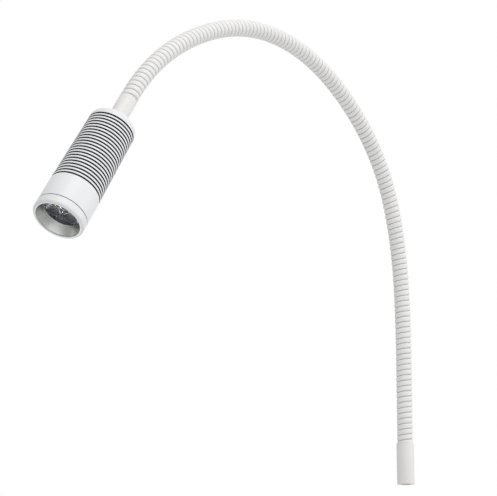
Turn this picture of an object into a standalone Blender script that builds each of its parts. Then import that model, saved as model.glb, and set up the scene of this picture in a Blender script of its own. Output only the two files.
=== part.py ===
"""Gooseneck LED examination lamp, modelled as its separate pieces.

The lamp screws onto its stand at the world origin and rises along +Z. The gooseneck lies in the
XZ plane, arches over towards -X and carries the head. All sizes below are in millimetres and
become metres when a mesh is made. The neck is a chain of links: each link has a cup at its lower
joint and a ball at its upper joint.
"""

import math

import bmesh
import bpy
from mathutils import Matrix, Vector

MM = 0.001
GAP = 0.3                      # clearance kept between neighbouring pieces

# Gooseneck
NECK_LENGTH = 728.0            # flexible length, from ferrule to collar
BEND_LENGTH = 724.0            # part of it that LEAN_DEG covers; the rest is straight
NECK_R = 8.0                   # over the ribs
NECK_BORE_R = 4.5
LEAN_DEG = (0, 0, 4.5, 18.5, 43.5, 63.5, 86.5, 108.5, 125.5, 146.0)   # evenly spaced along the bend
JOINTS = 12
BALL_R = 7.7
CUP_R = 8.4
CABLE_START = 8.9              # cable stretch of a link, from past its lower joint
CABLE_END = 5.0                # to past its upper joint
CABLE_ROOT = -14.4             # lower end of the first stretch, inside the ferrule
SPIGOT_R = 5.5                 # reduced neck ends inside ferrule and collar
SPIGOT_BORE_R = 3.6
SPIGOT_LENGTH = 13.0
CABLE_R = 2.6

# Base ferrule
FERRULE_LENGTH = 39.0          # up to the neck's end
FERRULE_MOUTH = 1.6            # rim that stands up round the neck's end
FERRULE_R = 8.8
BUSH_R = 6.2
BUSH_BORE_R = 4.55             # M10 x 1 female thread
BUSH_LENGTH = 12.0

# Collar and head: heights run along the head from its first groove
GROOVE_1 = 39.3                # first groove, measured from the neck's end
COLLAR_R = 8.1
CAP_BACK = -10.0
GROOVES = 22
GROOVE_PITCH = 3.45
GROOVE_HALF = 0.8
GROOVE_DEPTH = 4.5
REAR_R = 21.3
BAND_R = 22.6
BEZEL_R = 22.8
CORE_R = 16.8                  # housing under the cap and the first groove
SEAM = 97.9                    # gap between housing and bezel
SEAM_HALF = 0.25
FRONT = 106.4
OPENING_R = 19.7
REFLECTOR_R = 16.2             # reflector's bore at its back
PLATFORM = 80.8                # face that the LED board is screwed to
BOARD_FRONT = 83.5
LENS_BACK = 93.9
LENS_FRONT = 96.1
LENS_R = 19.6
LED_CIRCLE_R = 9.4
SCREW_CIRCLE_R = 14.6
LEDS = 3
LED_TURN = 71.0                # angle of the first LED about the head's axis
HOLE_TURN = 10.0               # keeps the edges of a hole off the seams of the plate that it is cut in
CABLE_STATION = 10.0           # spacing of the points along a cable

ROUND_STEPS = 32
NECK_STEPS = 16
SMALL_STEPS = 12
TABLE_STEP = 0.5               # spacing of the neck's centreline table

MATERIALS = {
    "white_paint": ((0.86, 0.87, 0.88), 0.35, 0.0),
    "warm_white": ((0.84, 0.82, 0.80), 0.45, 0.0),
    "neck_sleeve": ((0.83, 0.82, 0.80), 0.55, 0.0),
    "polished": ((0.72, 0.73, 0.73), 0.15, 1.0),
    "clear": ((0.85, 0.88, 0.90), 0.05, 0.0),
    "brass": ((0.75, 0.60, 0.30), 0.35, 1.0),
    "steel": ((0.60, 0.60, 0.62), 0.35, 1.0),
    "black_plastic": ((0.04, 0.04, 0.045), 0.50, 0.0),
    "rubber": ((0.06, 0.06, 0.06), 0.80, 0.0),
    "cable_grey": ((0.55, 0.55, 0.56), 0.60, 0.0),
    "circuit_green": ((0.05, 0.25, 0.12), 0.45, 0.0),
    "board_white": ((0.80, 0.80, 0.78), 0.40, 0.0),
    "phosphor": ((0.90, 0.78, 0.25), 0.40, 0.0),
    "copper": ((0.72, 0.40, 0.25), 0.35, 1.0),
    "pad_grey": ((0.45, 0.47, 0.50), 0.80, 0.0),
    "wire_red": ((0.60, 0.05, 0.05), 0.50, 0.0),
    "wire_black": ((0.03, 0.03, 0.03), 0.50, 0.0),
}


# ---------------------------------------------------------------- scene helpers

def clear_scene():
    for obj in list(bpy.data.objects):
        bpy.data.objects.remove(obj, do_unlink=True)


def new_collection(name):
    collection = bpy.data.collections.new(name)
    bpy.context.scene.collection.children.link(collection)
    return collection


def make_material(name):
    colour, roughness, metallic = MATERIALS[name]
    material = bpy.data.materials.new(name)
    material.use_nodes = True
    shader = material.node_tree.nodes["Principled BSDF"]
    shader.inputs["Base Color"].default_value = (*colour, 1.0)
    shader.inputs["Roughness"].default_value = roughness
    shader.inputs["Metallic"].default_value = metallic
    material.diffuse_color = (*colour, 1.0)
    return material


clear_scene()
LAMP = new_collection("examination_lamp")
CUTTERS = new_collection("cutters")


def add_object(name, data, parent=None, place=None, collection=None):
    """Link a new object under its parent, placed in the parent's frame."""
    obj = bpy.data.objects.new(name, data)
    (collection or LAMP).objects.link(obj)
    obj.parent = parent
    obj.matrix_basis = place or Matrix.Identity(4)
    return obj


def at(x=0.0, y=0.0, z=0.0, turn=0.0, axis="Z"):
    """A placement in millimetres with a turn in degrees."""
    return Matrix.Translation(Vector((x, y, z)) * MM) @ Matrix.Rotation(math.radians(turn), 4, axis)


def arc(centre_r, centre_z, radius, start_deg, end_deg, steps):
    """Points of a round stretch in a turned outline, as (radius, height)."""
    points = []
    for i in range(steps + 1):
        angle = math.radians(start_deg + (end_deg - start_deg) * i / steps)
        points.append((centre_r + radius * math.cos(angle), centre_z + radius * math.sin(angle)))
    return points


def finish_mesh(obj, material):
    obj.data.materials.append(make_material(material))
    obj.data.shade_smooth()
    obj.data.set_sharp_from_angle(angle=math.radians(35))


def turned(name, outline, material, parent=None, place=None, steps=ROUND_STEPS, collection=None):
    """A solid turned about local Z. The outline runs down the outside and back up the inside."""
    mesh = bpy.data.meshes.new(name)
    points = [(r * MM, 0.0, z * MM) for r, z in outline]
    on_axis = outline[0][0] == 0.0 and outline[-1][0] == 0.0
    edges = [(i, i + 1) for i in range(len(points) - 1)]
    if not on_axis:
        edges.append((len(points) - 1, 0))
    mesh.from_pydata(points, edges, [])
    obj = add_object(name, mesh, parent, place, collection)
    screw = obj.modifiers.new("turn", "SCREW")
    screw.axis = "Z"
    screw.angle = math.radians(360.0)
    screw.steps = steps
    screw.render_steps = steps
    screw.use_merge_vertices = True
    screw.merge_threshold = 0.00001
    apply_modifiers(obj)
    if collection is None:
        finish_mesh(obj, material)
    return obj


def apply_modifiers(obj):
    """Replace the object's mesh with what its modifiers make of it."""
    bpy.context.view_layer.update()
    graph = bpy.context.evaluated_depsgraph_get()
    mesh = bpy.data.meshes.new_from_object(obj.evaluated_get(graph))
    obj.modifiers.clear()
    obj.data = mesh


def box(name, size, material, parent=None, place=None, bevel=0.0):
    mesh = bpy.data.meshes.new(name)
    solid = bmesh.new()
    bmesh.ops.create_cube(solid, size=MM)
    bmesh.ops.scale(solid, verts=solid.verts, vec=Vector(size))
    solid.to_mesh(mesh)
    solid.free()
    obj = add_object(name, mesh, parent, place)
    if bevel:
        rounding = obj.modifiers.new("rounding", "BEVEL")
        rounding.width = bevel * MM
        rounding.segments = 1
    finish_mesh(obj, material)
    return obj


def wire(name, points, radius, material, parent=None, resolution=2):
    """A round cord through points given in millimetres."""
    curve = bpy.data.curves.new(name, "CURVE")
    curve.dimensions = "3D"
    curve.bevel_depth = radius * MM
    curve.bevel_resolution = resolution
    curve.use_fill_caps = True
    spline = curve.splines.new("POLY")
    spline.points.add(len(points) - 1)
    for spot, point in zip(spline.points, points):
        spot.co = (*(Vector(point) * MM), 1.0)
    obj = add_object(name, curve, parent)
    curve.materials.append(make_material(material))
    return obj


def cutter(name, outline, parent=None, place=None, steps=SMALL_STEPS):
    obj = turned(name, outline, None, parent, place, steps, CUTTERS)
    obj.hide_render = True
    obj.display_type = "WIRE"
    return obj


def boolean(obj, tool, operation):
    modifier = obj.modifiers.new(operation.lower(), "BOOLEAN")
    modifier.operation = operation
    modifier.solver = "EXACT"
    modifier.object = tool


def rod(radius, low, high):
    """Outline of a plain solid cylinder."""
    return [(0.0, high), (radius, high), (radius, low), (0.0, low)]


def tube(outer, inner, low, high, chamfer=0.0):
    """Outline of a tube, with chamfered outer edges if a chamfer is given."""
    if chamfer == 0.0:
        return [(outer, high), (outer, low), (inner, low), (inner, high)]
    return [(outer - chamfer, high), (outer, high - chamfer), (outer, low + chamfer),
            (outer - chamfer, low), (inner, low), (inner, high)]


# ---------------------------------------------------------------- neck centreline

def lean(distance):
    """Lean of the neck from vertical, in radians, by a smooth curve through LEAN_DEG."""
    last = len(LEAN_DEG) - 1
    t = min(max(distance / BEND_LENGTH, 0.0), 1.0) * last
    i = min(int(t), last - 1)
    f = t - i
    here, following = LEAN_DEG[i], LEAN_DEG[i + 1]
    before = LEAN_DEG[i - 1] if i > 0 else 2 * here - following
    after = LEAN_DEG[i + 2] if i + 2 <= last else 2 * following - here
    value = 0.5 * (2 * here + (following - before) * f
                   + (2 * before - 5 * here + 4 * following - after) * f ** 2
                   + (3 * here - before - 3 * following + after) * f ** 3)
    return math.radians(value)


def centreline_table():
    """Points every TABLE_STEP along the neck, integrated from its lean."""
    x, z = 0.0, FERRULE_LENGTH
    table = [(x, z)]
    for i in range(round(NECK_LENGTH / TABLE_STEP)):
        angle = lean((i + 0.5) * TABLE_STEP)
        x -= math.sin(angle) * TABLE_STEP
        z += math.cos(angle) * TABLE_STEP
        table.append((x, z))
    return table


CENTRELINE = centreline_table()


def neck_place(distance):
    """Frame of the neck: Z along it, X out of the bend, Y across. It runs on straight past the ends."""
    inside = min(max(distance, 0.0), NECK_LENGTH)
    i = min(int(inside / TABLE_STEP), len(CENTRELINE) - 2)
    f = inside / TABLE_STEP - i
    (x0, z0), (x1, z1) = CENTRELINE[i], CENTRELINE[i + 1]
    angle = lean(inside)
    beyond = distance - inside
    x = x0 + (x1 - x0) * f - math.sin(angle) * beyond
    z = z0 + (z1 - z0) * f + math.cos(angle) * beyond
    return at(x, 0.0, z, math.degrees(-angle), "Y")


def joint_distance(number):
    """Distance along the neck of joint 1 to JOINTS."""
    return NECK_LENGTH * (number - 0.5) / JOINTS


def lay_along_neck(obj, empty):
    """Bend a straight object, whose Z is distance along the neck, onto the centreline."""
    back = empty.matrix_world.inverted() if empty else Matrix.Identity(4)
    for vertex in obj.data.vertices:
        x, y, z = vertex.co
        vertex.co = back @ neck_place(z / MM) @ Vector((x, y, 0.0))
    obj.data.update()
    obj.data.set_sharp_from_angle(angle=math.radians(35))


# ---------------------------------------------------------------- neck links

def stretch(start, end, pieces):
    """Heights between two ends, without the ends themselves."""
    return [start + (end - start) * i / pieces for i in range(1, pieces)]


def link_outline(low_joint, high_joint):
    """Outline of one link: ball at the upper joint, cup at the lower one.

    A link without a lower joint starts as a spigot in the ferrule, and one without an upper
    joint ends as a spigot in the collar.
    """
    bore_low, bore_high = math.asin(NECK_BORE_R / CUP_R), math.asin(NECK_BORE_R / BALL_R)
    if high_joint is None:
        end = NECK_LENGTH
        top = [(SPIGOT_R, end + SPIGOT_LENGTH), (SPIGOT_R, end), (NECK_R, end)]
        bore_top = [(SPIGOT_BORE_R, end - 2.0), (SPIGOT_BORE_R, end + SPIGOT_LENGTH)]
        outer_top, inner_top = end, end - 3.0
    else:
        top = arc(0.0, high_joint, BALL_R, 90.0 - math.degrees(bore_high), 0.0, 4)
        bore_top = []
        outer_top, inner_top = high_joint - 5.0, high_joint + BALL_R * math.cos(bore_high)
    if low_joint is None:
        start = GAP
        bottom = [(NECK_R, start), (SPIGOT_R, start), (SPIGOT_R, start - SPIGOT_LENGTH),
                  (SPIGOT_BORE_R, start - SPIGOT_LENGTH), (SPIGOT_BORE_R, start + 2.0)]
        outer_low, inner_low = start, start + 3.0
        bottom.append((NECK_BORE_R, inner_low))
    else:
        rim = math.asin(NECK_R / CUP_R)
        bottom = arc(0.0, low_joint, CUP_R, 90.0 - math.degrees(rim), 90.0 - math.degrees(bore_low), 3)
        outer_low, inner_low = bottom[0][1], bottom[-1][1]
    outer = [(NECK_R, z) for z in stretch(outer_top, outer_low, 3)]
    if high_joint is not None:
        outer.insert(0, (NECK_R, outer_top))
    inner = [(NECK_BORE_R, z) for z in stretch(inner_low, inner_top, 3)]
    if high_joint is None:
        inner.append((NECK_BORE_R, inner_top))
    return top + outer + bottom + inner + bore_top


def cable_stretch(start, end, parent):
    """Points of one stretch of the two-core cable along the neck's bore, in the parent's frame."""
    count = max(3, round((end - start) / CABLE_STATION))
    back = parent.matrix_world.inverted() if parent else Matrix.Identity(4)
    points = []
    for i in range(count + 1):
        spot = back @ neck_place(start + (end - start) * i / count).translation
        points.append(tuple(spot / MM))
    return points


def build_neck():
    """All neck links with their cable stretches. Returns the empty on the last joint."""
    pivot = None
    for number in range(JOINTS + 1):
        low = joint_distance(number) if number > 0 else None
        high = joint_distance(number + 1) if number < JOINTS else None
        if low is not None:
            pivot = add_object(f"joint_{number:02d}", None, None, neck_place(low))
            bpy.context.view_layer.update()
        if low is None:
            name = "neck_root"
        elif high is None:
            name = "neck_tip"
        else:
            name = f"neck_link_{number:02d}"
        link = turned(name, link_outline(low, high), "neck_sleeve", pivot, steps=NECK_STEPS)
        lay_along_neck(link, pivot)
        if high is not None:
            cable_low = low + CABLE_START if low is not None else CABLE_ROOT
            points = cable_stretch(cable_low, high + CABLE_END, pivot)
            wire(f"cable_{number:02d}", points, CABLE_R, "cable_grey", pivot)
    return pivot


# ---------------------------------------------------------------- base

def build_base():
    rim = FERRULE_LENGTH + FERRULE_MOUTH
    outline = [(FERRULE_R - 0.2, rim), (FERRULE_R, rim - 0.4), (FERRULE_R, 0.5),
               (FERRULE_R - 0.5, 0.0), (BUSH_R + GAP, 0.0), (BUSH_R + GAP, 24.7),
               (SPIGOT_R + GAP, 24.7), (SPIGOT_R + GAP, FERRULE_LENGTH),
               (NECK_R + GAP, FERRULE_LENGTH), (NECK_R + GAP, rim)]
    ferrule = turned("base_ferrule", outline, "white_paint", steps=24)
    screw_place = at(0.0, 7.2, 32.0, -90.0, "X")
    hole = cutter("grub_hole", rod(2.0, -3.0, 3.0), None, screw_place)
    boolean(ferrule, hole, "DIFFERENCE")
    screw = [(0.0, -0.2), (1.0, -0.2), (1.0, 1.3), (1.7, 1.3), (1.7, -1.0), (1.2, -1.3), (0.0, -1.3)]
    turned("grub_screw", screw, "steel", None, screw_place, SMALL_STEPS)
    bush = tube(BUSH_R, BUSH_BORE_R, GAP, BUSH_LENGTH, 0.4)
    turned("mount_bush", bush, "brass", steps=24)
    box("supply_connector", (7.6, 5.6, 10.6), "black_plastic", None, at(0, 0, 18.8), 0.6)


# ---------------------------------------------------------------- head

def build_collar(head):
    """Smooth collar, with the hollow nipple, washer and nut that hold it to the rear cap."""
    low, high = GAP - GROOVE_1, CAP_BACK - GAP
    bore_end = low + SPIGOT_LENGTH + 0.5
    outline = [(COLLAR_R - 0.5, high), (COLLAR_R, high - 0.5), (COLLAR_R, low + 0.5),
               (COLLAR_R - 0.5, low), (SPIGOT_R + GAP, low), (SPIGOT_R + GAP, bore_end),
               (5.3, bore_end), (5.3, high)]
    turned("head_collar", outline, "warm_white", head, steps=24)
    turned("head_nipple", tube(5.0, 3.2, bore_end + GAP, -2.4, 0.3), "brass", head, steps=16)
    turned("lock_washer", tube(8.5, 5.3, -6.2, -5.4), "steel", head, steps=16)
    nut = turned("lock_nut", rod(8.0, -5.1, -2.9), "steel", head, steps=6)
    boolean(nut, cutter("nut_bore", rod(5.35, -6.0, -2.0), head, steps=16), "DIFFERENCE")


def build_housing(head):
    """Rear cap, seal and the finned housing. The first groove is the joint between the two."""
    rounding = 7.0
    cap = [(REAR_R, -GROOVE_HALF)]
    cap += arc(REAR_R - rounding, CAP_BACK + rounding, rounding, 0.0, -90.0, 5)
    cap += [(5.3, CAP_BACK), (5.3, -6.5), (15.6, -6.5), (CORE_R + GAP, -5.4), (CORE_R + GAP, -GROOVE_HALF)]
    turned("rear_cap", cap, "white_paint", head)
    turned("rear_seal", arc(14.9, -5.75, 0.45, 0.0, -315.0, 7), "rubber", head, steps=24)

    last = GROOVE_PITCH * (GROOVES - 1)
    taper = (BAND_R - REAR_R) / last
    end = SEAM - SEAM_HALF
    outline = [(BAND_R - 0.2, end), (BAND_R + 0.2, end - 0.4)]
    for number in reversed(range(1, GROOVES)):
        centre = GROOVE_PITCH * number
        outer = REAR_R + taper * centre
        floor = outer - GROOVE_DEPTH
        outline += [(outer, centre + GROOVE_HALF), (floor, centre + GROOVE_HALF),
                    (floor, centre - GROOVE_HALF), (outer, centre - GROOVE_HALF)]
    outline += [(REAR_R, GROOVE_HALF), (CORE_R, GROOVE_HALF), (CORE_R, -5.0), (14.2, -5.0),
                (14.2, 66.0), (2.5, 66.0), (2.5, PLATFORM), (20.2, PLATFORM), (20.2, 92.0),
                (21.3, 92.0), (21.3, end)]
    housing = turned("fin_housing", outline, "white_paint", head, steps=20)
    for number in range(LEDS):
        place = around(SCREW_CIRCLE_R, number + 0.5)
        boolean(housing, cutter(f"tapped_hole_{number}", rod(1.6, 73.5, 90.0), head, place), "DIFFERENCE")


def around(radius, number):
    """Placement number of LEDS on a circle about the head's axis."""
    angle = 360.0 * number / LEDS + LED_TURN
    return at(0, 0, 0, angle) @ at(radius, 0, 0)


def build_driver(head):
    """Constant-current driver in its insulating sleeve."""
    turned("driver_sleeve", tube(13.8, 13.2, 1.0, 62.0), "black_plastic", head, steps=24)
    box("driver_board", (22.0, 1.6, 42.0), "circuit_green", head, at(0, 0, 29.0))
    box("driver_terminal", (9.0, 6.0, 6.0), "board_white", head, at(0, 4.2, 11.0), 0.4)
    box("driver_chip", (6.0, 1.8, 5.0), "black_plastic", head, at(-5.0, 2.0, 20.0))
    upright = at(4.5, 1.2, 22.0, -90.0, "X")
    turned("driver_inductor", rod(4.5, 0.0, 6.5), "copper", head, upright, 16)
    lying = at(0.0, 5.2, 30.5)
    turned("driver_capacitor", rod(4.0, 0.0, 12.0), "black_plastic", head, lying, 16)
    for name, side, material in (("led_wire_red", 1, "wire_red"), ("led_wire_black", -1, "wire_black")):
        x = 1.1 * side
        route = [(6 * x, 1.9, 45.0), (6 * x, 2.2, 50.0), (4 * x, 1.6, 56.0), (1.6 * x, 0.4, 61.0),
                 (x, 0, 65.0), (x, 0, 72.0), (x, 0, 82.0), (1.1 * x, 0, 84.2), (2.4 * x, 0, 84.7),
                 (4.2 * x, 0, 84.5)]
        wire(name, route, 0.6, material, head)


def build_light(head):
    """LED board with its pad, LEDs and screws."""
    pad = turned("thermal_pad", tube(17.3, 2.5, PLATFORM + GAP, PLATFORM + 0.8), "pad_grey", head)
    board = turned("led_board", tube(17.5, 2.5, 81.9, BOARD_FRONT), "board_white", head)
    for number in range(LEDS):
        place = around(SCREW_CIRCLE_R, number + 0.5)
        for plate in (pad, board):
            hole_place = place @ at(turn=HOLE_TURN)
            tool = cutter(f"{plate.name}_hole_{number}", rod(1.7, 80.0, 90.0), head, hole_place)
            boolean(plate, tool, "DIFFERENCE")
        seat = BOARD_FRONT + GAP
        screw = [(0.0, 84.6), (1.2, 84.6), (1.2, 85.3), (2.6, 85.3), (2.6, seat), (1.3, seat),
                 (1.3, 75.0), (0.0, 75.0)]
        turned(f"board_screw_{number + 1}", screw, "steel", head, place, SMALL_STEPS)
        led = [(0.0, 86.1)] + arc(0.0, 84.5, 1.6, 60.0, 0.0, 2) + [(3.4, 84.5), (3.4, seat), (0.0, seat)]
        turned(f"led_{number + 1}", led, "phosphor", head, around(LED_CIRCLE_R, number), SMALL_STEPS)


def build_optics(head):
    """Black lens cup, clear lens with one cone over each LED, gasket, reflector and bezel."""
    cup = [(19.9, LENS_BACK - GAP), (19.9, 81.1), (18.2, 81.1), (18.2, 85.8), (0.0, 85.8)]
    cup = [(0.0, 86.6), (18.2, 86.6), (18.2, LENS_BACK - GAP)] + cup
    holder = turned("lens_holder", cup, "black_plastic", head, steps=24)
    plate = turned("triple_lens", rod(LENS_R, LENS_BACK, LENS_FRONT), "clear", head, steps=24)
    cone = [(0.0, 95.0), (8.0, 95.0), (8.0, 93.6), (7.0, 91.0), (5.4, 88.0), (3.3, 85.3),
            (2.2, 85.3), (2.2, 87.8), (0.0, 87.8)]
    for number in range(LEDS):
        place = around(LED_CIRCLE_R, number)
        boolean(holder, cutter(f"foot_hole_{number}", rod(4.6, 85.0, 87.4), head, place), "DIFFERENCE")
        boolean(plate, cutter(f"lens_cone_{number}", cone, head, place, 16), "UNION")
    turned("front_gasket", tube(19.8, 18.5, LENS_FRONT + GAP, 97.0), "rubber", head, steps=24)
    back, front = LENS_FRONT + GAP, 105.2
    wall = [(OPENING_R + 0.5, front), (REFLECTOR_R + 0.6, back), (REFLECTOR_R, back), (OPENING_R, front)]
    turned("reflector_ring", wall, "polished", head)
    lip = 2.4
    bezel = arc(BEZEL_R - lip, FRONT - lip, lip, 90.0, 0.0, 4)
    start = SEAM + SEAM_HALF
    bezel += [(BEZEL_R, start + 0.3), (BEZEL_R - 0.3, start), (21.0, start), (21.0, 92.3),
              (20.5, 92.3), (20.5, front + GAP), (OPENING_R, front + GAP), (OPENING_R, FRONT - 0.5),
              (OPENING_R + 0.4, FRONT - 0.1)]
    turned("bezel_ring", bezel, "white_paint", head)


def build_head(pivot):
    """Head pieces under one empty whose Z is the head's axis, with its zero at the first groove."""
    place = pivot.matrix_world.inverted() @ neck_place(NECK_LENGTH + GROOVE_1)
    head = add_object("head_axis", None, pivot, place)
    bpy.context.view_layer.update()
    build_collar(head)
    build_housing(head)
    build_driver(head)
    build_light(head)
    build_optics(head)
    neck_part = cable_stretch(joint_distance(JOINTS) + CABLE_START, NECK_LENGTH, head)
    to_terminal = [(0.0, 0.0, -4.0), (0.0, 0.3, -1.5), (0.0, 1.3, 1.0), (0.0, 3.0, 4.0), (0.0, 3.9, 6.4),
                   (0.0, 3.9, 7.6)]
    wire(f"cable_{JOINTS:02d}", neck_part + to_terminal, CABLE_R, "cable_grey", head)


build_base()
build_head(build_neck())
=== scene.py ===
"""Looks of the gooseneck examination lamp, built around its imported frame.

Lengths are in millimetres and become metres when a mesh is made. The lamp stands on the world
origin and its neck arches in the XZ plane towards -X. The head's own heights start at its first
groove.
"""

import math

import bpy
import numpy as np
from mathutils import Matrix, Vector


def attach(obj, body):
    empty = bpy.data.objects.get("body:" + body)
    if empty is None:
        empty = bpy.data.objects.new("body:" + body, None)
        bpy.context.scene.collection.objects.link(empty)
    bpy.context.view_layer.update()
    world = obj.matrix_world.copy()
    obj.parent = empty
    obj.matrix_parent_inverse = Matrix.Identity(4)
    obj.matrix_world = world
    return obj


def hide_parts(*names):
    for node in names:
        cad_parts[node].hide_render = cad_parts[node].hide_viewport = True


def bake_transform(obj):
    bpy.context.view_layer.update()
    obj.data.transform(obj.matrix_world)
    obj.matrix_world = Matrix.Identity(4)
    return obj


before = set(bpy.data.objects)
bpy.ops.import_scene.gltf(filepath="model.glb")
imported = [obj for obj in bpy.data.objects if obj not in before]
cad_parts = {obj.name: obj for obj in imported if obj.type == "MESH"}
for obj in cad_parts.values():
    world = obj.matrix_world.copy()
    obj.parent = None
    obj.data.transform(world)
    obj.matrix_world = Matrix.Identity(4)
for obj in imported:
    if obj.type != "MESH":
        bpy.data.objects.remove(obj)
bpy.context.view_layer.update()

MM = 0.001

# Gooseneck, as in the CAD
NECK_LENGTH = 728.0            # flexible length, from ferrule to collar
BEND_LENGTH = 724.0            # part of it that LEAN_DEG covers; the rest is straight
NECK_R = 8.0
NECK_BORE_R = 4.5
LEAN_DEG = (0, 0, 4.5, 18.5, 43.5, 63.5, 86.5, 108.5, 125.5, 146.0)
JOINTS = 12
SPIGOT_R = 5.5                 # plain ends that plug into the ferrule and the collar
SPIGOT_BORE_R = 3.6
SPIGOT_LENGTH = 12.7
GAP = 0.3                      # left between neighbouring parts
TABLE_STEP = 0.5               # step of the centreline table

# Ribs of the neck
RIB_PITCH = 5.42
FIRST_GROOVE = 5.0             # distance along the neck, on the side that faces FIRST_GROOVE_DEG
FIRST_GROOVE_DEG = -140.3
RIB_DEPTH = 1.2
RIB_FADE = 0.6                 # stretch over which the ribs run out at each end
NECK_STEPS = 48
RIB_STATIONS = (0.0, 0.05, 0.09, 0.13, 0.19, 0.27, 0.38, 0.5,    # rows of vertices across a rib
                0.62, 0.73, 0.81, 0.87, 0.91, 0.95)

# Base
FERRULE_LENGTH = 39.0
FERRULE_MOUTH = 1.6            # rim that reaches up over the neck
FERRULE_R = 8.8
BUSH_R = 6.2
BUSH_SEAT = 24.7               # depth of the hole for the bush and the connector
SCREW_HOLE_R = 2.0
SCREW_HEIGHT = 32.0

# Head
GROOVE_1 = 39.3                # distance of the first groove from the end of the neck
COLLAR_R = 8.1
NIPPLE_BORE_R = 5.3            # hole for the threaded nipple in the collar and the cap
CAP_BACK = -10.0
CAP_INSIDE = -6.5
CAP_ROUNDING = 7.0
GROOVES = 22
GROOVE_PITCH = 3.45
GROOVE_HALF = 0.8
GROOVE_DEPTH = 4.5
REAR_R = 21.3
BAND_R = 22.6
BEZEL_R = 22.8
BEZEL_LIP = 2.4
BEZEL_BORE_R = 20.5
SLEEVE_R = 21.0                # part of the bezel that slides into the housing
SLEEVE_BACK = 92.3
CORE_R = 16.8
SEAM = 97.9                    # joint between the housing and the bezel
SEAM_HALF = 0.25
FRONT = 106.4
OPENING_R = 19.7
REFLECTOR_R = 16.2
REFLECTOR_FRONT = 105.2
PLATFORM = 80.8                # seat of the light-emitting board
LENS_BACK = 93.9
LENS_FRONT = 96.1
LENS_R = 19.6
LED_CIRCLE_R = 9.4
LEDS = 3
LENS_TURN = 71.0               # angle of the first lens about the head's axis
CONE_FOOT = 85.3
CONE_FOOT_R = 3.3
CONE_TOP = 93.6
CONE_TOP_R = 8.0
CONE_JOIN = 94.2               # the cone ends inside the lens plate
CONE_CURVE = 0.62
DOME = 87.0                    # centre of the hollow that the cone has over its LED
DOME_R = 2.0
DISH_R = 25.0                  # ball that would leave the dish
DISH_BOTTOM = 94.6
DISH_MOUTH_R = 8.6
TURN_STEPS = 128

# Camera and stage, in metres and degrees
CAMERA_AT = (-1.4919, -1.0347, -0.1271)
CAMERA_HEADING = (0.7693, 0.6389)
CAMERA_PITCH = 11.5
CAMERA_LENS = 130.4
CAMERA_SENSOR = 36.0
FLOOR_Z = -0.95
FLOOR_R = 14.0
DIM_SIDE = (-0.639, 0.769, 0.0)    # side from which the studio gives less light
DIM_FROM = 0.15
DIM_TO = 0.85
DIM_STRENGTH = 0.35


# ---------------------------------------------------------------- shapes

def lean(distance):
    """Lean of the neck from vertical, in radians, by a smooth curve through LEAN_DEG."""
    last = len(LEAN_DEG) - 1
    ends = (2 * LEAN_DEG[0] - LEAN_DEG[1], 2 * LEAN_DEG[-1] - LEAN_DEG[-2])
    knots = np.array((ends[0], *LEAN_DEG, ends[1]), float)
    t = np.clip(np.asarray(distance, float) / BEND_LENGTH, 0.0, 1.0) * last
    i = np.minimum(t.astype(int), last - 1)
    f = t - i
    before, here, following, after = (knots[i + k] for k in range(4))
    value = 0.5 * (2 * here + (following - before) * f
                   + (2 * before - 5 * here + 4 * following - after) * f ** 2
                   + (3 * here - before - 3 * following + after) * f ** 3)
    return np.radians(value)


def centreline_table():
    """Distances along the neck with its X and Z there, integrated from the lean."""
    count = round(NECK_LENGTH / TABLE_STEP)
    angle = lean((np.arange(count) + 0.5) * TABLE_STEP)
    x = np.concatenate(([0.0], np.cumsum(-np.sin(angle) * TABLE_STEP)))
    z = np.concatenate(([0.0], np.cumsum(np.cos(angle) * TABLE_STEP))) + FERRULE_LENGTH
    return np.arange(count + 1) * TABLE_STEP, x, z


TABLE = centreline_table()


def neck_point(distance, angle, radius):
    """Points round the neck's centreline; the neck runs on straight past its ends."""
    distance, angle, radius = np.broadcast_arrays(distance, angle, radius)
    inside = np.clip(distance, 0.0, NECK_LENGTH)
    beyond = distance - inside
    a = lean(inside)
    out = radius * np.cos(angle)
    x = np.interp(inside, TABLE[0], TABLE[1]) - np.sin(a) * beyond + out * np.cos(a)
    z = np.interp(inside, TABLE[0], TABLE[2]) + np.cos(a) * beyond + out * np.sin(a)
    return np.stack((x, radius * np.sin(angle), z), axis=-1)


def neck_place(distance):
    """Frame of the neck in metres: Z along it, X out of the bend, Y across."""
    point = Vector(neck_point(distance, 0.0, 0.0)) * MM
    return Matrix.Translation(point) @ Matrix.Rotation(-float(lean(distance)), 4, "Y")


HEAD = neck_place(NECK_LENGTH + GROOVE_1)
BASE = Matrix.Identity(4)


def at(x=0.0, y=0.0, z=0.0, turn=0.0, axis="Z"):
    shift = Matrix.Translation(Vector((x, y, z)) * MM)
    return shift @ Matrix.Rotation(math.radians(turn), 4, axis)


def arc(centre_r, centre_z, radius, start_deg, end_deg, steps):
    """Points of a round stretch in a turned outline, as (radius, height)."""
    angles = [math.radians(start_deg + (end_deg - start_deg) * i / steps) for i in range(steps + 1)]
    return [(centre_r + radius * math.cos(a), centre_z + radius * math.sin(a)) for a in angles]


def rounded(outline, radius, steps=3, keep=()):
    """The closed outline with its corners rounded, apart from those numbered in keep."""
    points = [Vector(p) for p in outline]
    result = []
    for i, corner in enumerate(points):
        before, after = points[i - 1] - corner, points[(i + 1) % len(points)] - corner
        room = min(radius, 0.45 * before.length, 0.45 * after.length)
        if i in keep or room < 1e-6 or corner.x == 0.0:
            result.append(tuple(corner))
            continue
        start, end = corner + before.normalized() * room, corner + after.normalized() * room
        for k in range(steps + 1):
            t = k / steps
            result.append(tuple(start * (1 - t) ** 2 + corner * 2 * t * (1 - t) + end * t ** 2))
    return result


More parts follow.
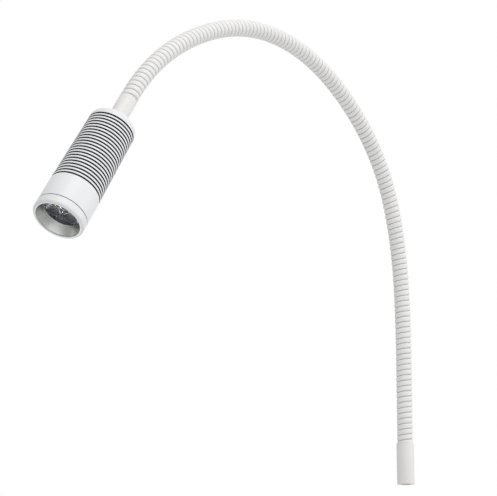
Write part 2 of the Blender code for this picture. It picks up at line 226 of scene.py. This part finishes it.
def new_piece(name, vertices, faces, materials, face_slots=None, sharp_deg=32.0):
    """A smooth-shaded mesh object from points in metres."""
    mesh = bpy.data.meshes.new(name)
    mesh.from_pydata([tuple(v) for v in vertices], [], faces)
    for material in materials:
        mesh.materials.append(material)
    if face_slots is not None:
        mesh.polygons.foreach_set("material_index", np.array(face_slots, np.int32))
    mesh.shade_smooth()
    mesh.set_sharp_from_angle(angle=math.radians(sharp_deg))
    obj = bpy.data.objects.new(name, mesh)
    bpy.context.scene.collection.objects.link(obj)
    return obj


def turned(name, outline, materials, place=None, slots=None, steps=TURN_STEPS):
    """A solid turned about the Z of place; the outline runs down the outside and up the inside.

    A uv layer holds the share of a turn and the length along the outline in centimetres. slots
    names the material of each stretch between neighbouring points of the outline.
    """
    place = place or BASE
    count = len(outline)
    on_axis = outline[0][0] == 0.0 and outline[-1][0] == 0.0
    radius, height = np.array(outline, float).T
    angle = np.arange(steps) * 2 * math.pi / steps
    points = np.stack((np.outer(np.cos(angle), radius), np.outer(np.sin(angle), radius),
                       np.tile(height, (steps, 1))), axis=-1).reshape(-1, 3) * MM
    index = np.arange(steps * count).reshape(steps, count)
    if on_axis:
        index[:, 0] = 0
        index[:, -1] = count - 1
    length = np.concatenate(([0.0], np.cumsum(np.hypot(np.diff(radius), np.diff(height)))))
    length = np.append(length, length[-1] + math.dist(outline[-1], outline[0])) / 10.0
    faces, face_slots, uvs = [], [], []
    for k in range(steps):
        for i in range(count - 1 if on_axis else count):
            j, n = (i + 1) % count, (k + 1) % steps
            ring = [(index[k][i], k, i), (index[k][j], k, i + 1), (index[n][j], k + 1, i + 1),
                    (index[n][i], k + 1, i)]
            unique = [c for number, c in enumerate(ring) if c[0] != ring[number - 1][0]]
            faces.append([int(c[0]) for c in unique])
            uvs += [(c[1] / steps, length[c[2]]) for c in unique]
            face_slots.append(slots[i] if slots else 0)
    used = sorted({v for face in faces for v in face})
    renumber = {old: new for new, old in enumerate(used)}
    faces = [[renumber[v] for v in face] for face in faces]
    matrix = np.array(place)
    vertices = points[used] @ matrix[:3, :3].T + matrix[:3, 3]
    obj = new_piece(name, vertices, faces, materials, face_slots)
    layer = obj.data.uv_layers.new(name="turned")
    layer.data.foreach_set("uv", np.array(uvs, np.float32).ravel())
    return obj


def combine(obj, tools, operation):
    """Cut or join the tools, which are then removed."""
    for tool in tools:
        modifier = obj.modifiers.new(tool.name, "BOOLEAN")
        modifier.operation = operation
        modifier.solver = "EXACT"
        modifier.object = tool
    bpy.context.view_layer.update()
    graph = bpy.context.evaluated_depsgraph_get()
    mesh = bpy.data.meshes.new_from_object(obj.evaluated_get(graph))
    obj.modifiers.clear()
    obj.data = mesh
    for tool in tools:
        bpy.data.objects.remove(tool, do_unlink=True)


def helical_skin(low, high, pitch, first, first_deg, stations, steps):
    """Mesh of a tube whose edges follow a helix, cut square at both ends.

    Returns distances, angles and faces, with the vertex numbers of the two end rings. stations
    are the places across one turn of the helix, from 0 to 1; turn 0 is at first, on first_deg.
    """
    snap = 0.02 * pitch
    turn_0 = math.radians(first_deg)
    first_row = math.floor((low - first) / pitch * steps) - steps
    last_row = math.ceil((high - first) / pitch * steps) + 1
    distances = [low] * steps + [high] * steps
    angles = [turn_0 + 2 * math.pi * k / steps for k in range(steps)] * 2
    numbers = {}

    def vertex(row, station):
        if station == len(stations):
            row, station = row + steps, 0
        distance = first + pitch * (row / steps + stations[station])
        if distance < low + snap:
            return row % steps
        if distance > high - snap:
            return steps + row % steps
        if (row, station) not in numbers:
            numbers[row, station] = len(distances)
            distances.append(distance)
            angles.append(turn_0 + 2 * math.pi * (row % steps) / steps)
        return numbers[row, station]

    faces = []
    for row in range(first_row, last_row):
        for station in range(len(stations)):
            ring = [vertex(row, station), vertex(row + 1, station),
                    vertex(row + 1, station + 1), vertex(row, station + 1)]
            face = [v for number, v in enumerate(ring) if v != ring[number - 1]]
            if len(set(face)) >= 3:
                faces.append(face)
    return np.array(distances), np.array(angles), faces, range(steps), range(steps, 2 * steps)


# ---------------------------------------------------------------- materials

class Nodes:
    """Short calls for the nodes of one material."""

    def __init__(self, name):
        self.material = bpy.data.materials.new(name)
        self.material.use_nodes = True
        self.tree = self.material.node_tree
        self.shader = self.tree.nodes["Principled BSDF"]

    def add(self, kind, links=(), **settings):
        node = self.tree.nodes.new(kind)
        for key, value in settings.items():
            setattr(node, key, value)
        for socket, value in dict(links).items():
            self.set(node, socket, value)
        return node

    def set(self, node, socket, value):
        if isinstance(value, bpy.types.NodeSocket):
            self.tree.links.new(value, node.inputs[socket])
        else:
            node.inputs[socket].default_value = value

    def shade(self, **values):
        for socket, value in values.items():
            self.set(self.shader, socket.replace("_", " "), value)

    def coordinates(self, kind="Object", stretch=(1.0, 1.0, 1.0)):
        source = self.add("ShaderNodeTexCoord")
        mapping = self.add("ShaderNodeMapping", {"Vector": source.outputs[kind], "Scale": stretch})
        return mapping.outputs["Vector"]

    def noise(self, vector, scale, detail=3.0, roughness=0.5):
        node = self.add("ShaderNodeTexNoise", {"Vector": vector, "Scale": scale,
                                               "Detail": detail, "Roughness": roughness})
        return node.outputs["Fac"]

    def spread(self, value, low, high, source_low=0.3, source_high=0.7):
        node = self.add("ShaderNodeMapRange", {"Value": value, "To Min": low, "To Max": high,
                                               "From Min": source_low, "From Max": source_high})
        return node.outputs["Result"]

    def mix(self, factor, first, second):
        node = self.add("ShaderNodeMix", data_type="RGBA")
        for number, value in ((0, factor), (6, first), (7, second)):
            socket = node.inputs[number]
            if isinstance(value, bpy.types.NodeSocket):
                self.tree.links.new(value, socket)
            elif number:
                socket.default_value = (*value, 1.0)
            else:
                socket.default_value = value
        return node.outputs[2]

    def bump(self, height, distance, strength=1.0):
        node = self.add("ShaderNodeBump", {"Height": height, "Distance": distance,
                                           "Strength": strength})
        return node.outputs["Normal"]


def shaded(colour, factor):
    return tuple(min(1.0, c * factor) for c in colour)


def surface(name, colour, roughness, metallic=0.0, mottle=0.03, cloud=45.0, relief=0.02):
    """Material whose colour and gloss drift a little, with a fine relief given in millimetres."""
    n = Nodes(name)
    where = n.coordinates()
    clouds, fine = n.noise(where, cloud), n.noise(where, 1400.0, 2.0)
    n.shade(Base_Color=n.mix(clouds, shaded(colour, 1 - mottle), shaded(colour, 1 + mottle)),
            Roughness=n.spread(clouds, roughness * 0.85, min(1.0, roughness * 1.15)),
            Normal=n.bump(fine, relief * MM), Metallic=metallic)
    return n.material


def paint(name, colour, roughness):
    """Sprayed paint: faint cloudiness, orange peel and a thin clear gloss."""
    n = Nodes(name)
    where = n.coordinates()
    clouds, skin = n.noise(where, 30.0), n.noise(where, 700.0, 1.0)
    dust = n.noise(where, 2600.0, 2.0)
    speck = n.spread(dust, 0.0, 0.05, 0.66, 0.8)
    body = n.mix(clouds, shaded(colour, 0.985), shaded(colour, 1.01))
    n.shade(Base_Color=n.mix(speck, body, shaded(colour, 0.7)),
            Roughness=n.spread(clouds, roughness * 0.9, roughness * 1.1),
            Normal=n.bump(skin, 0.03 * MM), Coat_Weight=0.12, Coat_Roughness=0.25)
    return n.material


def neck_finish():
    """White plastic-coated winding, with painted shade greying it down in the grooves."""
    n = Nodes("neck_coating")
    where = n.coordinates()
    clouds, fine = n.noise(where, 26.0), n.noise(where, 1500.0, 2.0)
    depth = n.add("ShaderNodeAttribute", attribute_name="groove_depth").outputs["Fac"]
    body = n.mix(clouds, (0.83, 0.825, 0.81), (0.86, 0.855, 0.845))
    # Painted shade: the deeper the groove, the further the coating is mixed towards dark grey.
    painted_groove_shade = n.spread(depth, 0.0, 0.85, 0.3, 1.0)
    n.shade(Base_Color=n.mix(painted_groove_shade, body, (0.28, 0.275, 0.28)),
            Roughness=n.spread(clouds, 0.42, 0.55), Normal=n.bump(fine, 0.02 * MM))
    return n.material


def turned_metal(name, colour, roughness, lines=60.0, relief=0.008):
    """Metal turned on a lathe: fine lines round the axis, read from the turned uv layer."""
    n = Nodes(name)
    where = n.coordinates("UV", (3.0, lines, 1.0))
    tool_marks = n.noise(where, 5.0, 4.0, 0.6)
    clouds = n.noise(n.coordinates(), 60.0)
    n.shade(Base_Color=n.mix(clouds, shaded(colour, 0.94), shaded(colour, 1.05)),
            Roughness=n.spread(tool_marks, roughness * 0.7, roughness * 1.3),
            Normal=n.bump(tool_marks, relief * MM), Metallic=1.0)
    return n.material


def clear_plastic():
    """Moulded acrylic with a faint flow in its surface."""
    n = Nodes("clear_acrylic")
    where = n.coordinates()
    flow, haze = n.noise(where, 120.0, 1.0), n.noise(where, 900.0)
    n.shade(Base_Color=n.mix(haze, (0.86, 0.89, 0.94), (0.93, 0.95, 0.99)),
            Roughness=n.spread(haze, 0.02, 0.06), Normal=n.bump(flow, 0.01 * MM),
            Transmission_Weight=1.0, IOR=1.49)
    return n.material


def winding(name, colour, turns):
    """Enamelled wire wound side by side up the piece, with painted shade darkening the hollows
    between the turns.
    """
    n = Nodes(name)
    where = n.coordinates()
    bands = n.add("ShaderNodeTexWave", {"Vector": where, "Scale": turns, "Distortion": 0.4},
                  bands_direction="DIAGONAL").outputs["Fac"]
    # Painted shade: the colour falls to 0.45 of itself where the bands dip between the turns.
    n.shade(Base_Color=n.mix(bands, shaded(colour, 0.45), colour), Metallic=0.8,
            Roughness=n.spread(bands, 0.3, 0.5), Normal=n.bump(bands, 0.15 * MM))
    return n.material


def circuit_board(name, mask, track):
    """Solder mask with tracks that show through it as a slightly lighter, raised net."""
    n = Nodes(name)
    where = n.coordinates()
    cells = n.add("ShaderNodeTexVoronoi", {"Vector": where, "Scale": 260.0},
                  feature="DISTANCE_TO_EDGE", distance="CHEBYCHEV").outputs["Distance"]
    net = n.spread(cells, 1.0, 0.0, 0.05, 0.07)
    fine = n.noise(where, 1200.0)
    n.shade(Base_Color=n.mix(net, mask, track), Roughness=n.spread(fine, 0.3, 0.45),
            Normal=n.bump(net, 0.035 * MM))
    return n.material


PAINT = paint("head_paint", (0.83, 0.84, 0.85), 0.33)
TUBE_PAINT = paint("tube_paint", (0.82, 0.81, 0.79), 0.40)
# Dark finish of the groove walls and floors, made darker still as painted shade for the depth of
# the grooves.
FIN_SHADE = surface("groove_dark_finish_and_painted_shade", (0.036, 0.033, 0.050), 0.55, mottle=0.1)
NECK = neck_finish()
REFLECTOR = turned_metal("reflector_metal", (0.70, 0.71, 0.69), 0.27, 30.0, 0.001)
CLEAR = clear_plastic()
BRASS = turned_metal("brass_turned", (0.75, 0.58, 0.28), 0.28)
STEEL = surface("zinc_steel", (0.62, 0.62, 0.60), 0.32, 1.0, mottle=0.08, cloud=300.0)
BLACK = surface("black_moulding", (0.03, 0.03, 0.033), 0.42, mottle=0.12, relief=0.05)
# The holder's light grey-violet is partly painted reflection, standing in for the reflections and
# violet coating tints seen through the lens.
HOLDER = surface("lens_holder_with_painted_reflection", (0.27, 0.25, 0.31), 0.18, mottle=0.1)
RUBBER = surface("black_rubber_skin", (0.035, 0.035, 0.035), 0.8, mottle=0.15, relief=0.05)
CABLE = surface("cable_sheath", (0.5, 0.5, 0.51), 0.6, relief=0.04)
BOARD = circuit_board("driver_mask", (0.02, 0.12, 0.05), (0.05, 0.22, 0.10))
LED_BOARD = circuit_board("led_mask", (0.78, 0.78, 0.76), (0.70, 0.70, 0.66))
NYLON = surface("white_nylon", (0.78, 0.78, 0.74), 0.45, relief=0.05)
PHOSPHOR = surface("led_phosphor", (0.85, 0.70, 0.18), 0.45, mottle=0.12, cloud=900.0)
COPPER = winding("copper_winding", (0.72, 0.36, 0.18), 900.0)
PAD = surface("thermal_pad_skin", (0.42, 0.44, 0.47), 0.8, mottle=0.1, relief=0.06)
WIRE_RED = surface("red_insulation", (0.55, 0.03, 0.03), 0.45)
WIRE_BLACK = surface("black_insulation", (0.02, 0.02, 0.02), 0.45)


# ---------------------------------------------------------------- neck

def rib_depth(distance, angle):
    """How far the skin lies below the crest, from 0 to 1, at a place on the neck."""
    share = (angle - math.radians(FIRST_GROOVE_DEG)) / (2 * math.pi)
    turn = (distance - FIRST_GROOVE) / RIB_PITCH - share
    across = np.abs(2.0 * (turn - np.floor(turn)) - 1.0)
    edge = np.minimum(distance, NECK_LENGTH - distance)
    fade = np.clip(edge / RIB_FADE, 0.0, 1.0)
    return (0.8 * across ** 6 + 0.2 * across ** 2) * fade * fade * (3.0 - 2.0 * fade)


def neck_skin(distance, angle):
    return neck_point(distance, angle, NECK_R - RIB_DEPTH * rib_depth(distance, angle))


def neck_normals(distance, angle):
    """Outward directions of the neck's skin, the same on both sides of a cut."""
    step, swing = 0.05, 0.01
    along = neck_skin(distance + step, angle) - neck_skin(distance - step, angle)
    around = neck_skin(distance, angle + swing) - neck_skin(distance, angle - swing)
    out = np.cross(around, along)
    return out / np.linalg.norm(out, axis=1, keepdims=True)


def neck_piece(number):
    """The stretch of neck round one joint, from mid-link to mid-link, with the bore inside it."""
    low, high = (NECK_LENGTH * k / JOINTS for k in (number - 1, number))
    outer_low, outer_high = max(low, GAP), min(high, NECK_LENGTH)
    distances, angles, faces, ring_low, ring_high = helical_skin(
        outer_low, outer_high, RIB_PITCH, FIRST_GROOVE, FIRST_GROOVE_DEG, RIB_STATIONS, NECK_STEPS)
    skin_faces = len(faces)
    points = neck_skin(distances, angles)
    normals = neck_normals(distances, angles)
    depth = rib_depth(distances, angles)
    inside = [(NECK_BORE_R, s) for s in np.linspace(low, high, 13)]
    if number == 1:
        end = GAP - SPIGOT_LENGTH
        inside[:1] = [(SPIGOT_R, GAP), (SPIGOT_R, end), (SPIGOT_BORE_R, end),
                      (SPIGOT_BORE_R, 2.0), (NECK_BORE_R, 3.0)]
    if number == JOINTS:
        end = NECK_LENGTH + SPIGOT_LENGTH
        inside[-1:] = [(NECK_BORE_R, NECK_LENGTH - 3.0), (SPIGOT_BORE_R, NECK_LENGTH - 2.0),
                       (SPIGOT_BORE_R, end), (SPIGOT_R, end), (SPIGOT_R, NECK_LENGTH)]
    around = angles[:NECK_STEPS]
    rings = [list(ring_low)]
    for radius, s in inside:
        rings.append(list(range(len(points), len(points) + NECK_STEPS)))
        points = np.concatenate((points, neck_point(s, around, radius)))
    rings.append(list(ring_high))
    for first, second in zip(rings, rings[1:]):
        for k in range(NECK_STEPS):
            n = (k + 1) % NECK_STEPS
            faces.append([first[k], second[k], second[n], first[n]])
    obj = new_piece(f"neck_sleeve_{number:02d}", points * MM, faces, [NECK], sharp_deg=60.0)
    # Groove depth at each vertex, from which the neck coating paints shade into the grooves.
    attribute = obj.data.attributes.new("groove_depth", "FLOAT", "POINT")
    padded = np.zeros(len(points), np.float32)
    padded[:len(depth)] = depth
    attribute.data.foreach_set("value", padded)
    shading = np.zeros((len(obj.data.loops), 3))
    for polygon in obj.data.polygons[:skin_faces]:
        for loop in polygon.loop_indices:
            shading[loop] = normals[obj.data.loops[loop].vertex_index]
    obj.data.normals_split_custom_set(shading.tolist())
    names = ["neck_root"] + [f"neck_link_{k:02d}" for k in range(1, JOINTS)] + ["neck_tip"]
    start, end = (Vector(neck_point(s, 0.0, 0.0)) * MM for s in (low, high))
    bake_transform(obj)
    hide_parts(names[number - 1], names[number])


# ---------------------------------------------------------------- base

def mounted(obj, body, slot, *nodes):
    """Give a finished piece its body and hide the CAD nodes that it stands for; slot is not used.
    """
    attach(obj, body)
    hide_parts(*nodes)
    return obj


def build_base():
    rim = FERRULE_LENGTH + FERRULE_MOUTH
    outline = [(FERRULE_R, rim), (FERRULE_R, 0.0), (BUSH_R + GAP, 0.0), (BUSH_R + GAP, BUSH_SEAT),
               (SPIGOT_R + GAP, BUSH_SEAT), (SPIGOT_R + GAP, FERRULE_LENGTH),
               (NECK_R + GAP, FERRULE_LENGTH), (NECK_R + GAP, rim)]
    ferrule = turned("base_ferrule_shell", rounded(outline, 0.25), [TUBE_PAINT])
    plug = [(0.0, 3.0), (SCREW_HOLE_R, 3.0), (SCREW_HOLE_R, -3.0), (0.0, -3.0)]
    hole = turned("hole", plug, [TUBE_PAINT], at(0.0, 7.2, SCREW_HEIGHT, -90.0, "X"), steps=48)
    combine(ferrule, [hole], "DIFFERENCE")
    mounted(ferrule, "base", "tube_white", "base_ferrule")


def build_head():
    low, high = GAP - GROOVE_1, CAP_BACK - GAP
    bore_end = low + SPIGOT_LENGTH + 0.8
    outline = [(COLLAR_R, high), (COLLAR_R, low), (SPIGOT_R + GAP, low),
               (SPIGOT_R + GAP, bore_end), (NIPPLE_BORE_R, bore_end), (NIPPLE_BORE_R, high)]
    collar = turned("head_collar_tube", rounded(outline, 0.5), [TUBE_PAINT], HEAD)
    mounted(collar, "head", "tube_white", "head_collar")

    cap = [(REAR_R, -GROOVE_HALF)]
    cap += arc(REAR_R - CAP_ROUNDING, CAP_BACK + CAP_ROUNDING, CAP_ROUNDING, 0.0, -90.0, 20)
    cap += [(NIPPLE_BORE_R, CAP_BACK), (NIPPLE_BORE_R, CAP_INSIDE), (15.6, CAP_INSIDE),
            (CORE_R + GAP, -5.4), (CORE_R + GAP, -GROOVE_HALF)]
    # The cap's last two faces, inside and towards the first groove, take the dark groove material,
    # which is partly painted shade.
    slots = [0] * (len(cap) - 2) + [1, 1]
    rear_cap = turned("rear_cap_shell", cap, [PAINT, FIN_SHADE], HEAD, slots)
    mounted(rear_cap, "head", "head_white", "rear_cap")
    mounted(build_housing(), "head", "head_white", "fin_housing")

    back = LENS_FRONT + GAP
    wall = [(OPENING_R + 0.5, REFLECTOR_FRONT), (REFLECTOR_R + 0.6, back), (REFLECTOR_R, back),
            (OPENING_R, REFLECTOR_FRONT)]
    mounted(turned("reflector_wall", wall, [REFLECTOR], HEAD), "head", "polished", "reflector_ring")

    bezel = arc(BEZEL_R - BEZEL_LIP, FRONT - BEZEL_LIP, BEZEL_LIP, 90.0, 0.0, 12)
    start, ledge = SEAM + SEAM_HALF, REFLECTOR_FRONT + GAP
    bezel += [(BEZEL_R, start + 0.3), (BEZEL_R - 0.3, start), (SLEEVE_R, start),
              (SLEEVE_R, SLEEVE_BACK), (BEZEL_BORE_R, SLEEVE_BACK), (BEZEL_BORE_R, ledge),
              (OPENING_R, ledge)]
    bezel += arc(OPENING_R + 0.6, FRONT - 0.6, 0.6, 180.0, 90.0, 4)
    mounted(turned("bezel_ring_shell", bezel, [PAINT], HEAD), "head", "head_white", "bezel_ring")
    mounted(build_lens(), "head", "clear_lens", "triple_lens")


def build_housing():
    """Finned housing: every fin has softened edges, and the grooves get a dark finish, darkened
    further as painted shade for their depth.
    """
    last = GROOVE_PITCH * (GROOVES - 1)
    taper = (BAND_R - REAR_R) / last
    soft = 0.18
    end = SEAM - SEAM_HALF
    outline, slots = [(BAND_R - 0.1, end), (BAND_R + 0.2, end - 0.3)], [0]
    for number in reversed(range(1, GROOVES)):
        centre = GROOVE_PITCH * number
        outer = REAR_R + taper * centre
        floor = outer - GROOVE_DEPTH
        front, back = centre + GROOVE_HALF, centre - GROOVE_HALF
        outline += [(outer, front + soft), (outer - 0.05, front + 0.05), (outer - soft, front),
                    (floor, front), (floor, back),
                    (outer - soft, back), (outer - 0.05, back - 0.05), (outer, back - soft)]
        # Groove walls and floors take the dark material, which is partly painted shade.
        slots += [0, 0, 0, 1, 1, 1, 0, 0]
    slots.append(0)
    outline += [(REAR_R, GROOVE_HALF + soft), (REAR_R - soft, GROOVE_HALF), (CORE_R, GROOVE_HALF),
                (CORE_R, -5.0), (14.2, -5.0), (14.2, 66.0), (2.5, 66.0), (2.5, PLATFORM),
                (20.2, PLATFORM), (20.2, 92.0), (21.3, 92.0), (21.3, end)]
    slots += [0, 1] + [1] * 10
    return turned("fin_housing_body", outline, [PAINT, FIN_SHADE], HEAD, slots)


def lens_place(number):
    return HEAD @ at(turn=LENS_TURN + 360.0 * number / LEDS) @ at(LED_CIRCLE_R)


def build_lens():
    """Clear moulding with a collimating cone over each LED and a shallow dish in front of it."""
    plate = [(0.0, LENS_FRONT), (LENS_R - 0.2, LENS_FRONT), (LENS_R, LENS_FRONT - 0.2),
             (LENS_R, LENS_BACK), (0.0, LENS_BACK)]
    lens = turned("triple_lens_moulding", plate, [CLEAR], HEAD)
    cone = [(0.0, CONE_JOIN), (CONE_TOP_R, CONE_JOIN)]
    for share in np.linspace(1.0, 0.0, 13):
        cone.append((CONE_FOOT_R + (CONE_TOP_R - CONE_FOOT_R) * share ** CONE_CURVE,
                     CONE_FOOT + (CONE_TOP - CONE_FOOT) * share))
    cone += [(2.2, CONE_FOOT), (2.2, 87.6)] + arc(0.0, DOME, DOME_R, 20.0, 90.0, 5)[1:-1]
    cone += [(0.0, DOME + DOME_R)]
    dish = [(0.0, 98.0), (DISH_MOUTH_R, 98.0)]
    dish += arc(0.0, DISH_BOTTOM + DISH_R, DISH_R, -70.0, -90.0, 8)[:-1] + [(0.0, DISH_BOTTOM)]
    cones, dishes = [], []
    for number in range(LEDS):
        place = lens_place(number)
        cones.append(turned(f"cone_{number}", cone, [CLEAR], place, steps=60))
        dishes.append(turned(f"dish_{number}", dish, [CLEAR], place, steps=96))
    combine(lens, dishes, "DIFFERENCE")
    combine(lens, cones, "UNION")
    lens.data.shade_smooth()
    lens.data.set_sharp_from_angle(angle=math.radians(28))
    return lens


# ---------------------------------------------------------------- kept CAD nodes

KEPT = {
    "grub_screw": STEEL, "mount_bush": BRASS, "supply_connector": BLACK, "head_nipple": BRASS,
    "lock_washer": STEEL, "lock_nut": STEEL, "rear_seal": RUBBER, "driver_sleeve": BLACK,
    "driver_board": BOARD, "driver_terminal": NYLON, "driver_chip": BLACK,
    "driver_inductor": COPPER, "driver_capacitor": BLACK, "led_wire_red": WIRE_RED,
    "led_wire_black": WIRE_BLACK,
    "thermal_pad": PAD, "led_board": LED_BOARD, "lens_holder": HOLDER, "front_gasket": RUBBER,
}
KEPT |= {f"cable_{k:02d}": CABLE for k in range(JOINTS + 1)}
KEPT |= {f"board_screw_{k}": STEEL for k in range(1, LEDS + 1)}
KEPT |= {f"led_{k}": PHOSPHOR for k in range(1, LEDS + 1)}


def dress_kept_nodes():
    for name, material in KEPT.items():
        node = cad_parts[name]
        node.data.materials.clear()
        node.data.materials.append(material)


# ---------------------------------------------------------------- stage

def soft_light(name, place, target, size, power, colour=(1.0, 1.0, 1.0)):
    data = bpy.data.lights.new(name, "AREA")
    data.shape = "DISK"
    data.size = size
    data.energy = power
    data.color = colour
    light = bpy.data.objects.new(name, data)
    light.location = place
    light.rotation_euler = (Vector(target) - Vector(place)).to_track_quat("-Z", "Y").to_euler()
    light.visible_camera = False
    bpy.context.scene.collection.objects.link(light)


def build_stage():
    n = Nodes("floor_paper")
    fibre = n.noise(n.coordinates(), 8.0)
    n.shade(Base_Color=n.mix(fibre, (0.68, 0.68, 0.68), (0.72, 0.72, 0.72)), Roughness=0.9)
    outline = [(0.0, 0.0), (FLOOR_R / MM, 0.0), (FLOOR_R / MM, -20.0), (0.0, -20.0)]
    place = Matrix.Translation((0.0, 0.0, FLOOR_Z))
    floor = turned("floor", outline, [n.material], place, steps=96)

    world = bpy.data.worlds.new("studio")
    world.use_nodes = True
    tree = world.node_tree
    background = tree.nodes["Background"]
    direction = tree.nodes.new("ShaderNodeTexCoord").outputs["Generated"]
    side = tree.nodes.new("ShaderNodeVectorMath")
    side.operation = "DOT_PRODUCT"
    side.inputs[1].default_value = DIM_SIDE
    tree.links.new(direction, side.inputs[0])
    fall = tree.nodes.new("ShaderNodeMapRange")
    fall.interpolation_type = "SMOOTHSTEP"
    for socket, value in (("From Min", DIM_FROM), ("From Max", DIM_TO), ("To Min", 1.0),
                          ("To Max", DIM_STRENGTH)):
        fall.inputs[socket].default_value = value
    tree.links.new(side.outputs["Value"], fall.inputs["Value"])
    tree.links.new(fall.outputs["Result"], background.inputs["Strength"])
    background.inputs["Color"].default_value = (1.0, 1.0, 1.0, 1.0)
    bpy.context.scene.world = world
    bpy.context.scene.view_settings.view_transform = "Standard"
    soft_light("key", (-0.9, -1.36, 2.3), (-0.2, 0.0, 0.3), 1.8, 11.0)
    soft_light("side", (0.9, -1.5, 0.5), (-0.1, 0.0, 0.2), 1.4, 2.5)
    soft_light("glint", (-0.37, 0.80, -0.70), (-0.49, 0.0, 0.18), 0.16, 1.6)


def build_camera():
    data = bpy.data.cameras.new("camera")
    data.lens = CAMERA_LENS
    data.sensor_width = CAMERA_SENSOR
    camera = bpy.data.objects.new("camera", data)
    bpy.context.scene.collection.objects.link(camera)
    heading, pitch = Vector(CAMERA_HEADING).normalized(), math.radians(CAMERA_PITCH)
    forward = Vector((heading.x * math.cos(pitch), heading.y * math.cos(pitch), math.sin(pitch)))
    camera.location = CAMERA_AT
    camera.rotation_euler = forward.to_track_quat("-Z", "Y").to_euler()
    bpy.context.scene.camera = camera


build_camera()
for neck_number in range(1, JOINTS + 1):
    neck_piece(neck_number)
build_base()
build_head()
dress_kept_nodes()
build_stage()
